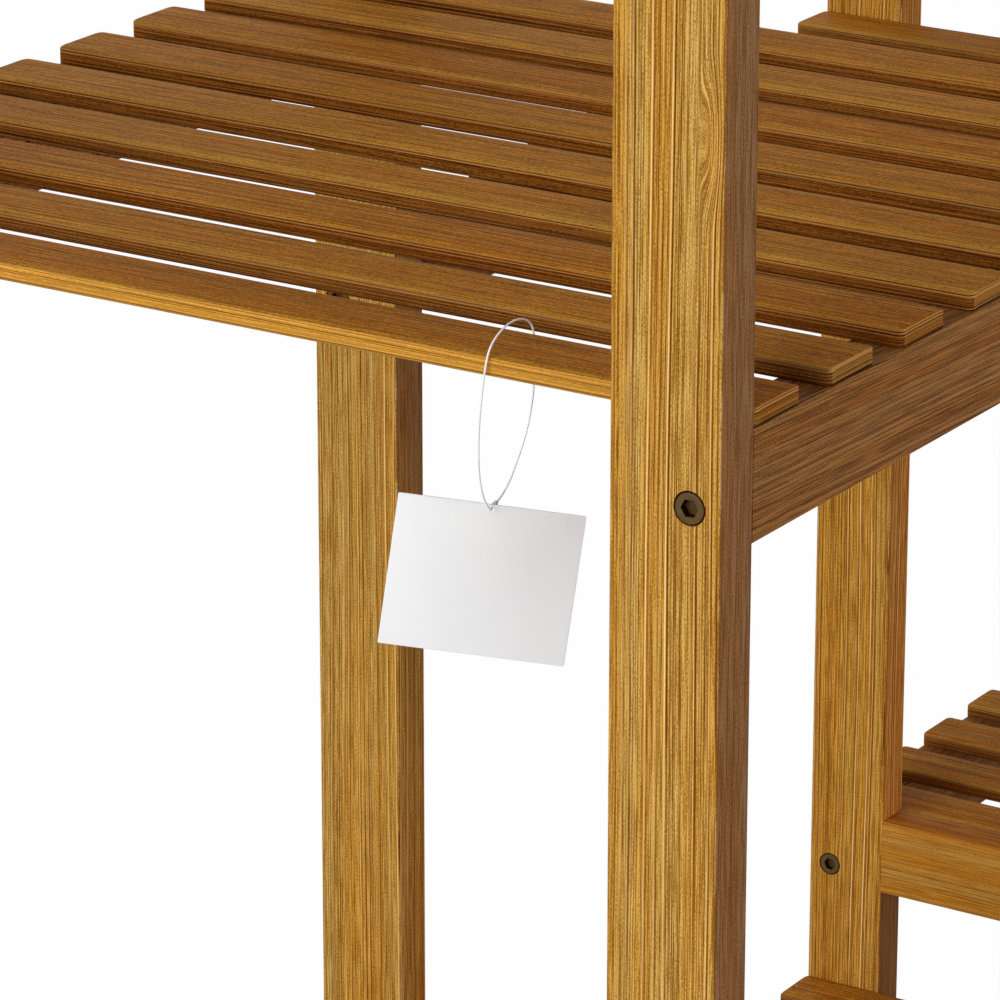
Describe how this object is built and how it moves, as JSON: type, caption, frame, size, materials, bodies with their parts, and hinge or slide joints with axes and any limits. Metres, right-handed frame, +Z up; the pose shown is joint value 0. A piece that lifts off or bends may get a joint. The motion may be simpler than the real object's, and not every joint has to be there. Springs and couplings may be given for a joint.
{
  "type": "shelving unit",
  "caption": "Free-standing slatted wooden shelving unit with bays of staggered shelves bolted between upright posts, with a blank hang tag on a loop.",
  "frame": {"origin": "centre of the footprint, on the floor", "axes": "+X along the unit from its tall left end to its low right end, -Y the front, +Z up"},
  "size_m": [1.176, 0.4, 1.149],
  "materials": {
    "frame_wood": "satin honey stain over straight bamboo-like grain",
    "slat_wood": "satin brown stain over straight bamboo-like grain",
    "dowel_wood": "raw fluted hardwood, drawn plain",
    "bolt_bronze": "antique bronze plating",
    "nut_steel": "zinc plated",
    "tag_card": "coated white card, blank",
    "tag_nylon": "translucent white nylon"
  },
  "bodies": {
    "unit": {"barrel_nuts_bay_1": "nut_steel", "barrel_nuts_bay_2": "nut_steel", "barrel_nuts_bay_3": "nut_steel", "bolts_frame_1": "bolt_bronze", "bolts_frame_2": "bolt_bronze", "bolts_frame_3": "bolt_bronze", "bolts_frame_4": "bolt_bronze", "cross_rail_head_1": "frame_wood", "cross_rail_head_2": "frame_wood", "cross_rail_head_3": "frame_wood", "cross_rail_head_4": "frame_wood", "cross_rail_low_1": "frame_wood", "cross_rail_low_2": "frame_wood", "cross_rail_low_3": "frame_wood", "cross_rail_low_4": "frame_wood", "dowels_frame_1": "dowel_wood", "dowels_frame_2": "dowel_wood", "dowels_frame_3": "dowel_wood", "dowels_frame_4": "dowel_wood", "post_back_1": "frame_wood", "post_back_2": "frame_wood", "post_back_3": "frame_wood", "post_back_4": "frame_wood", "post_front_1": "frame_wood", "post_front_2": "frame_wood", "post_front_3": "frame_wood", "post_front_4": "frame_wood", "rail_back_bay1_low": "frame_wood", "rail_back_bay1_mid": "frame_wood", "rail_back_bay1_top": "frame_wood", "rail_back_bay2_low": "frame_wood", "rail_back_bay2_mid": "frame_wood", "rail_back_bay3_low": "frame_wood", "rail_back_bay3_mid": "frame_wood", "rail_front_bay1_low": "frame_wood", "rail_front_bay1_mid": "frame_wood", "rail_front_bay1_top": "frame_wood", "rail_front_bay2_low": "frame_wood", "rail_front_bay2_mid": "frame_wood", "rail_front_bay3_low": "frame_wood", "rail_front_bay3_mid": "frame_wood", "slats_bay1_low": "slat_wood", "slats_bay1_mid": "slat_wood", "slats_bay1_top": "slat_wood", "slats_bay2_low": "slat_wood", "slats_bay2_mid": "slat_wood", "slats_bay3_low": "slat_wood", "slats_bay3_mid": "slat_wood", "tag_lock": "tag_nylon", "tag_loop": "tag_nylon"},
    "tag": {"tag_card": "tag_card"}
  },
  "joints": [
    {"name": "tag_swing", "type": "hinge", "parent": "unit", "child": "tag", "pos_m": [-0.55975, -0.107, 0.6307], "axis": [0.8434, 0.5373, 0], "range_deg": [-30, 30]}
  ]
}
